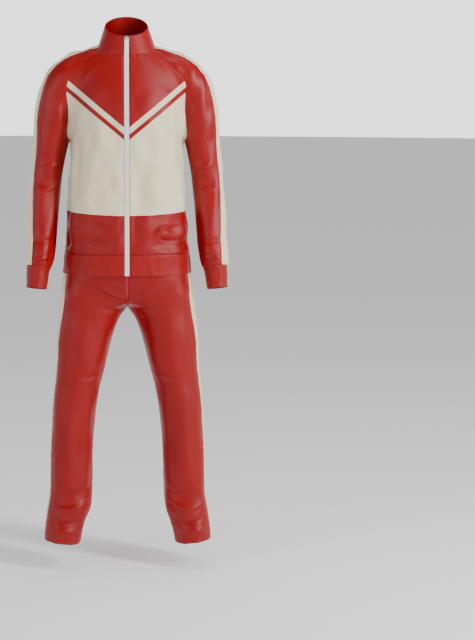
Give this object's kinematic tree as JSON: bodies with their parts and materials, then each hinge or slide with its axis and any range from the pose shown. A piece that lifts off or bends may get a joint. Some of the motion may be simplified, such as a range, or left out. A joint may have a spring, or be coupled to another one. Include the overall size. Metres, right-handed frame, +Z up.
{
  "type": "tracksuit",
  "caption": "Tracksuit, filled out as if worn: zip-up raglan jacket with stand collar, hem band and cuffs, over straight trousers with side stripes; neck, cuffs and hems are open.",
  "frame": {"origin": "middle of the neck, level with the top of the wearer's shoulders, where the suit hangs from the wearer", "axes": "+Z up, front of the suit towards -Y, +X towards the wearer's left"},
  "size_m": [0.6078, 0.2751, 1.5895],
  "materials": {
    "red_tricot": "satin polyester tricot",
    "cream_tricot": "satin polyester tricot",
    "red_band": "two layers of the satin tricot over elastic",
    "zip_tape": "woven tape with moulded teeth",
    "zip_metal": "satin",
    "pull_plastic": "moulded white"
  },
  "bodies": {
    "suit": {"sleeve_front_left": "red_tricot", "sleeve_stripe_left": "cream_tricot", "sleeve_back_left": "red_tricot", "cuff_left": "red_band", "front_left": "cream_tricot", "leg_front_left": "red_tricot", "leg_stripe_left": "cream_tricot", "leg_back_left": "red_tricot", "zip_left": "zip_tape", "sleeve_front_right": "red_tricot", "sleeve_stripe_right": "cream_tricot", "sleeve_back_right": "red_tricot", "cuff_right": "red_band", "front_right": "cream_tricot", "leg_front_right": "red_tricot", "leg_stripe_right": "cream_tricot", "leg_back_right": "red_tricot", "zip_right": "zip_tape", "back": "cream_tricot", "hem_band": "red_band", "waistband": "red_band", "collar": "red_tricot", "zip_slider": "zip_metal"},
    "pull_tab": {"zip_pull": "pull_plastic"}
  },
  "joints": [
    {"name": "pull_swing", "type": "hinge", "parent": "suit", "child": "pull_tab", "pos_m": [0, -0.07898, 0.03103], "axis": [-1, 0, 0], "range_deg": [0, 130]}
  ]
}
